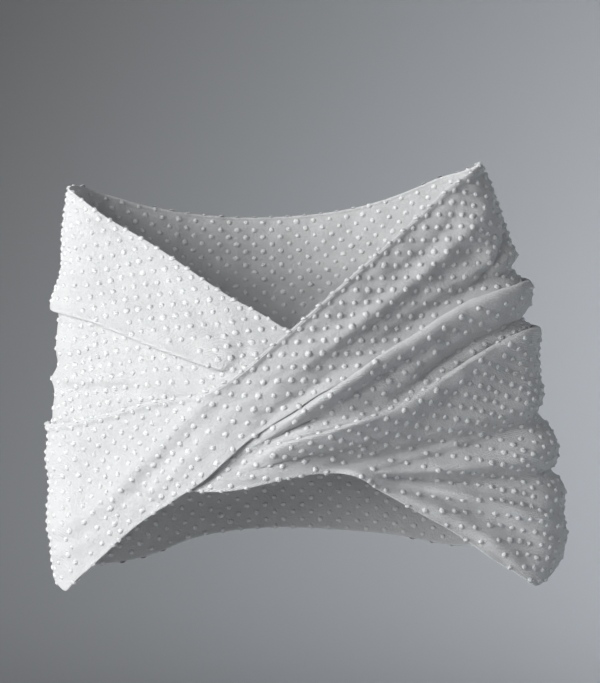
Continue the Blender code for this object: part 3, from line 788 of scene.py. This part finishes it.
def dots_on_face(grid, facing, flat, side, kept):
    """Where the weave's dots fall on the kept part of one side of the cloth."""
    a = flat[..., 0] / DOT_ALONG
    b = flat[..., 1] / DOT_ACROSS
    skin = grid + facing * side * CLOTH_THICK / 2
    found = {}
    corners = [
        (np.s_[:-1, :-1], np.s_[1:, :-1], np.s_[1:, 1:]),
        (np.s_[:-1, :-1], np.s_[1:, 1:], np.s_[:-1, 1:]),
    ]
    for p, q, r in corners:
        for shift in (0.0, 0.5):
            goal_a = np.round((a[p] + a[q] + a[r]) / 3 - shift) + shift
            goal_b = np.round((b[p] + b[q] + b[r]) / 3 - shift) + shift
            area = (a[q] - a[p]) * (b[r] - b[p]) - (a[r] - a[p]) * (b[q] - b[p])
            area = np.where(np.abs(area) < 1e-12, 1e-12, area)
            u = ((goal_a - a[p]) * (b[r] - b[p]) - (a[r] - a[p]) * (goal_b - b[p])) / area
            v = ((a[q] - a[p]) * (goal_b - b[p]) - (goal_a - a[p]) * (b[q] - b[p])) / area
            hit = (u >= -1e-6) & (v >= -1e-6) & (u + v <= 1 + 1e-6) & kept[p]
            for i, j in zip(*np.nonzero(hit)):
                quarter = int(i / grid.shape[0] * QUARTERS)
                key = (round(2 * goal_a[i, j]), round(2 * goal_b[i, j]), quarter)
                share = (1 - u[i, j] - v[i, j], u[i, j], v[i, j])
                place = sum(w * skin[s][i, j] for w, s in zip(share, (p, q, r)))
                run = grid[1:, :-1][i, j] - grid[:-1, :-1][i, j]
                found.setdefault(key, Dot(key, place, facing[p][i, j] * side, run))
    return [found[key] for key in sorted(found)]


def dots_on_edge(grid, facing, flat, here, beside, kept):
    """Dots that fall just past a long edge, and so sit on the front of its fold."""
    dots = []
    a = flat[:, here, 0] / DOT_ALONG
    b = flat[:, here, 1] / DOT_ACROSS
    way = np.sign(np.median(flat[:, here, 1] - flat[:, beside, 1]))
    reach = EDGE_DOT_REACH / DOT_ACROSS
    for i in range(len(a) - 1):
        for shift in (0.0, 0.5):
            goal_a = math.floor(max(a[i], a[i + 1]) - shift) + shift
            if not min(a[i], a[i + 1]) <= goal_a < max(a[i], a[i + 1]):
                continue
            goal_b = (math.ceil(b[i] - shift) if way > 0 else math.floor(b[i] - shift)) + shift
            if abs(goal_b - b[i]) > reach or not kept[i, here]:
                continue
            away = grid[i, here] - grid[i, beside]
            away /= np.linalg.norm(away)
            up = away + facing[i, here]
            up /= np.linalg.norm(up)
            share = (goal_a - a[i]) / (a[i + 1] - a[i])
            run = grid[i + 1, here] - grid[i, here]
            place = grid[i, here] + run * share + up * EDGE_DOT_RISE
            dots.append(Dot((round(2 * goal_a), round(2 * goal_b), QUARTERS), place, up, run))
    return dots


def dots_mesh(name, dots, sides, ends, material, others):
    """All the dots on one side of a stretch as one mesh, each a little unlike the next."""
    form, faces = dot_form(sides)
    all_verts = []
    all_faces = []
    count = 0
    kept = KDTree(len(dots))
    for n, dot in enumerate(dots):
        kept.insert(dot.place, n)
    kept.balance()
    used = set()
    for n, dot in enumerate(dots):
        start = Vector(dot.place + dot.up * SKIN_CLEAR)
        if others.ray_cast(start, Vector(dot.up), DOT_ROOM)[0] is not None:
            continue
        if any(m in used for _, m, _ in kept.find_range(dot.place, DOT_CLOSEST)):
            continue
        used.add(n)
        chance = np.random.default_rng(abs(dot.key[0]) * 7919 + abs(dot.key[1]) * 104729 + sides)
        size = chance.uniform(0.86, 1.12)
        tall = chance.uniform(0.80, 1.15)
        long = chance.uniform(1.0, 1.25)
        turn = chance.uniform(0, 2 * math.pi)
        tuft = chance.uniform(-0.10, 0.10, (len(form), 3))
        run = dot.run - dot.run.dot(dot.up) * dot.up
        run = run / np.linalg.norm(run)
        beside = np.cross(dot.up, run)
        local = form + tuft
        x = local[:, 0] * math.cos(turn) - local[:, 1] * math.sin(turn)
        y = local[:, 0] * math.sin(turn) + local[:, 1] * math.cos(turn)
        verts = (dot.place + np.outer(x * long, run) * DOT_RADIUS * size
                 + np.outer(y, beside) * DOT_RADIUS * size
                 + np.outer(local[:, 2], dot.up) * DOT_HEIGHT * tall)
        all_faces.append(faces + count)
        all_verts.append(verts)
        count += len(verts)
        if not ends:
            continue
        tufts = tuft_ends(chance, ends) * (size, size, tall)
        all_verts.append(dot.place + tufts @ np.array([run, beside, dot.up]))
        for _ in range(ends):
            all_faces.append(TUFT_FACES + count)
            count += 4
    verts = np.concatenate(all_verts).tolist()
    return smooth_piece(name, verts, np.concatenate(all_faces).tolist(), material)


# -------- materials
def link(tree, source, output, target, socket):
    """Join one node's output to another's input."""
    tree.links.new(source.outputs[output], target.inputs[socket])


def mix_colours(tree, source, output, low, high, shader):
    """Colour the shader between two colours by a value from 0 to 1."""
    mix = tree.nodes.new("ShaderNodeMix")
    mix.data_type = "RGBA"
    mix.inputs[6].default_value = tuple(low) + (1.0,)
    mix.inputs[7].default_value = tuple(high) + (1.0,)
    link(tree, source, output, mix, 0)
    tree.links.new(mix.outputs[2], shader.inputs["Base Color"])


def noise(tree, where, output, scale, detail):
    """Noise of a given fineness, read at the given places."""
    node = tree.nodes.new("ShaderNodeTexNoise")
    node.inputs["Scale"].default_value = scale
    node.inputs["Detail"].default_value = detail
    link(tree, where, output, node, "Vector")
    return node


def bump(tree, source, output, strength, distance):
    """Bump from a height."""
    node = tree.nodes.new("ShaderNodeBump")
    node.inputs["Strength"].default_value = strength
    node.inputs["Distance"].default_value = distance
    link(tree, source, output, node, "Height")
    return node


def matt_shader(material, roughness, sheen, sheen_roughness):
    """The material's shader, set to dry matt thread."""
    material.use_nodes = True
    shader = material.node_tree.nodes["Principled BSDF"]
    shader.inputs["Roughness"].default_value = roughness
    shader.inputs["Sheen Weight"].default_value = sheen
    shader.inputs["Sheen Roughness"].default_value = sheen_roughness
    shader.inputs["Specular IOR Level"].default_value = 0.15
    return shader


def let_light_in(shader, weight, radius):
    """Let a little light pass through the threads."""
    shader.inputs["Subsurface Weight"].default_value = weight
    shader.inputs["Subsurface Radius"].default_value = radius
    shader.inputs["Subsurface Scale"].default_value = 0.003


def cotton_material(name, colour):
    """Matt white cotton: a fine weave, small puckers, a faint change of tone and light coming through."""
    material = bpy.data.materials.new(name)
    shader = matt_shader(material, 0.88, 0.25, 0.6)
    let_light_in(shader, 0.20, (1.0, 0.95, 0.9))
    tree = material.node_tree
    where = tree.nodes.new("ShaderNodeUVMap")
    where.uv_map = "cloth"
    threads = []
    for axis in ("X", "Y"):
        wave = tree.nodes.new("ShaderNodeTexWave")
        wave.wave_type = "BANDS"
        wave.bands_direction = axis
        wave.inputs["Scale"].default_value = 320.0
        wave.inputs["Distortion"].default_value = 1.2
        wave.inputs["Detail"].default_value = 1.0
        link(tree, where, "UV", wave, "Vector")
        threads.append(wave)
    weave = tree.nodes.new("ShaderNodeMath")
    weave.operation = "ADD"
    link(tree, threads[0], "Fac", weave, 0)
    link(tree, threads[1], "Fac", weave, 1)
    slub = noise(tree, where, "UV", 700.0, 3.0)
    rough = tree.nodes.new("ShaderNodeMath")
    rough.operation = "MULTIPLY_ADD"
    rough.inputs[1].default_value = 2.0
    link(tree, slub, "Fac", rough, 0)
    link(tree, weave, "Value", rough, 2)
    weave_bump = bump(tree, rough, "Value", 0.7, 0.0008)
    pucker = noise(tree, where, "UV", 330.0, 2.5)
    pucker.inputs["Roughness"].default_value = 0.6
    pucker_bump = bump(tree, pucker, "Fac", 0.5, 0.0018)
    link(tree, weave_bump, "Normal", pucker_bump, "Normal")
    link(tree, pucker_bump, "Normal", shader, "Normal")
    tone = noise(tree, where, "UV", 60.0, 4.0)
    mix_colours(tree, tone, "Fac", tuple(c * 0.965 for c in colour), colour, shader)
    return material


def dot_material(name, colour):
    """The dots' cut threads: soft and a little fuzzy."""
    material = bpy.data.materials.new(name)
    shader = matt_shader(material, 0.9, 0.4, 0.5)
    let_light_in(shader, 0.6, (1.0, 0.97, 0.93))
    shader.inputs["Base Color"].default_value = tuple(colour) + (1.0,)
    tree = material.node_tree
    where = tree.nodes.new("ShaderNodeTexCoord")
    fuzz = noise(tree, where, "Object", 900.0, 4.0)
    link(tree, bump(tree, fuzz, "Fac", 0.8, 0.0016), "Normal", shader, "Normal")
    return material


def shaded_paper_material(name, painted_shade_tone, painted_light_tone, roughness):
    """Paper for the floor and backdrop with painted shade: its colour runs from a painted shade at the
    upper left to a paler, painted light tone at the low right.
    """
    material = bpy.data.materials.new(name)
    material.use_nodes = True
    tree = material.node_tree
    shader = tree.nodes["Principled BSDF"]
    shader.inputs["Roughness"].default_value = roughness
    where = tree.nodes.new("ShaderNodeTexCoord")
    slant = tree.nodes.new("ShaderNodeVectorMath")
    slant.operation = "DOT_PRODUCT"
    slant.inputs[1].default_value = (1.0, 0.0, -0.55)
    link(tree, where, "Object", slant, 0)
    spread = tree.nodes.new("ShaderNodeMapRange")
    spread.inputs["From Min"].default_value = -1.2
    spread.inputs["From Max"].default_value = 1.3
    link(tree, slant, "Value", spread, "Value")
    mix_colours(tree, spread, "Result", painted_shade_tone, painted_light_tone, shader)
    return material


# -------- the pieces
COTTON = (0.82, 0.822, 0.818)
DOT_WHITE = (0.82, 0.82, 0.815)

Stretch = namedtuple("Stretch", "node path start end stations flat_width flat_length")
STRETCHES = [
    Stretch("back", back_path, SEAM + SEAM_GAP, 200 - SEAM - SEAM_GAP, 205, 0.37, 0.50),
    Stretch("under_front", under_path, -SEAM, SEAM, 212, 0.30, 0.64),
    Stretch("over_front", over_path, -SEAM, SEAM, 250, 0.13, 0.62),
]
Cloth = namedtuple("Cloth", "stretch stations grid facing flat piece")


def make_cloth(stretch):
    detail = 1.0
    stations = np.linspace(stretch.start, stretch.end, int(stretch.stations * detail))
    grid, facing = cloth_grid(stations, stretch.path)
    flat = cloth_measure(grid, facing)
    cotton = cotton_material(stretch.node + "_weave", COTTON)
    piece = cloth_mesh(stretch.node + "_cloth", grid, facing, flat, cotton)
    return Cloth(stretch, stations, grid, facing, flat, piece)


def dot_charts(cloth):
    """The rows of dots follow the top edge, and below the crossing the last pleat."""
    everywhere = np.ones(cloth.grid.shape[:2], bool)
    node = cloth.stretch.node
    if node == "back":
        return [(cloth.flat, everywhere)]
    from_top = rows_from_line(cloth.grid, cloth.grid[:, 0])
    if node == "over_front":
        everywhere[cloth.stations > HEM_TUCKED, -1] = False
        return [(from_top, everywhere)]
    over_top = column(OVER_FRONT, "top", cloth.stations)
    over_hem = column(OVER_FRONT, "hem", cloth.stations)
    down = ORIGIN_DOWN - cloth.grid[..., 2] / MM
    below = down > ((over_top + over_hem) / 2)[:, None]
    pleat = cloth.grid[:, sum(UNDER_COUNTS[:PLEAT_B_STEP])]
    return [(from_top, ~below), (rows_from_line(cloth.grid, pleat), below)]


def make_dots(cloth, all_cloth):
    """The dots of one stretch, outside and inside."""
    outside = []
    inside = []
    for measure, kept in dot_charts(cloth):
        outside += dots_on_edge(cloth.grid, cloth.facing, measure, 0, 1, kept)
        outside += dots_on_edge(cloth.grid, cloth.facing, measure, -1, -2, kept)
        outside += dots_on_face(cloth.grid, cloth.facing, measure, 1, kept)
        inside += dots_on_face(cloth.grid, cloth.facing, measure, -1, kept)
    node = cloth.stretch.node
    white = dot_material(node + "_dot_thread", DOT_WHITE)
    return [
        dots_mesh(node + "_dots", outside, OUTSIDE_SIDES, TUFT_ENDS, white, all_cloth),
        dots_mesh(node + "_inside_dots", inside, INSIDE_SIDES, 0, white, all_cloth),
    ]


def tree_of(pieces):
    """One search tree of the faces of all the pieces."""
    verts = []
    faces = []
    for piece in pieces:
        faces += [[k + len(verts) for k in face.vertices] for face in piece.data.polygons]
        verts += [v.co.copy() for v in piece.data.vertices]
    return BVHTree.FromPolygons(verts, faces)


cloths = [make_cloth(stretch) for stretch in STRETCHES]
all_cloth = tree_of([cloth.piece for cloth in cloths])
for cloth in cloths:
    dots = make_dots(cloth, all_cloth)
    stretch = cloth.stretch
    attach(cloth.piece, "root")
    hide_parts(stretch.node)
    for piece in dots:
        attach(piece, "root")

# -------- stage, light and camera
AIM = Vector((0.020, 0.0, -0.1485))  # what the camera and the window light are turned to
CAMERA_AWAY = 2.0  # metres from the camera to that place
VIEW_WIDTH = 0.600  # metres across the picture at the stole
FLOOR = -0.95
WALL_REACH = 3.6
WALL_TOP = 2.0
COVE = 1.0  # radius of the curve from the floor to the wall
BOWL_SIDES = 72


def studio_bowl(material):
    """Pale floor that curves up into a wall all round, open at the top."""
    profile = [(0.0, FLOOR), (WALL_REACH - COVE, FLOOR)]
    for turn in np.radians([15, 30, 45, 60, 75, 90]):
        reach = WALL_REACH - COVE + COVE * math.sin(turn)
        profile.append((reach, FLOOR + COVE - COVE * math.cos(turn)))
    profile.append((WALL_REACH, WALL_TOP))
    verts = []
    for reach, height in profile:
        for turn in np.arange(BOWL_SIDES) * 2 * math.pi / BOWL_SIDES:
            verts.append((reach * math.cos(turn), reach * math.sin(turn), height))
    faces = []
    for ring in range(len(profile) - 1):
        low = ring * BOWL_SIDES
        high = low + BOWL_SIDES
        for k in range(BOWL_SIDES):
            m = (k + 1) % BOWL_SIDES
            faces.append((low + k, low + m, high + m, high + k))
    smooth_piece("studio", verts, faces, material)


def soft_light(name, place, size, watts, colour, aim=AIM):
    """Soft box turned to the stole, or to another place."""
    data = bpy.data.lights.new(name, "AREA")
    data.shape = "RECTANGLE"
    data.size = size[0]
    data.size_y = size[1]
    data.energy = watts
    data.color = colour
    lamp = bpy.data.objects.new(name, data)
    lamp.location = place
    lamp.rotation_euler = (Vector(aim) - Vector(place)).to_track_quat("-Z", "Y").to_euler()
    lamp.visible_camera = False
    bpy.context.scene.collection.objects.link(lamp)


# The paper's colour carries painted shade, darker at the upper left and paler at the low right, standing
# in for how the light falls on the backdrop.
studio_bowl(shaded_paper_material("studio_paper_painted_shade", (0.20, 0.20, 0.20), (0.60, 0.615, 0.64), 0.9))
soft_light("window", (-2.20, -1.72, 0.50), (1.9, 1.7), 118.0, (0.98, 0.99, 1.0))
soft_light("low back", (2.4, 1.0, -0.3), (1.0, 1.0), 37.0, (0.93, 0.97, 1.0), aim=(1.0, 3.5, -0.4))

world = bpy.data.worlds.new("studio")
world.use_nodes = True
sky = world.node_tree.nodes["Background"]
sky.inputs["Color"].default_value = (0.50, 0.51, 0.53, 1.0)
sky.inputs["Strength"].default_value = 0.21
bpy.context.scene.world = world

lens = bpy.data.cameras.new("camera")
lens.sensor_fit = "HORIZONTAL"
lens.lens = lens.sensor_width * CAMERA_AWAY / VIEW_WIDTH
camera = bpy.data.objects.new("camera", lens)
camera.location = AIM + Vector((0.0, -CAMERA_AWAY, 0.0))
camera.rotation_euler = (math.radians(90), 0.0, 0.0)
bpy.context.scene.collection.objects.link(camera)
bpy.context.scene.camera = camera
bpy.context.scene.view_settings.view_transform = "Standard"
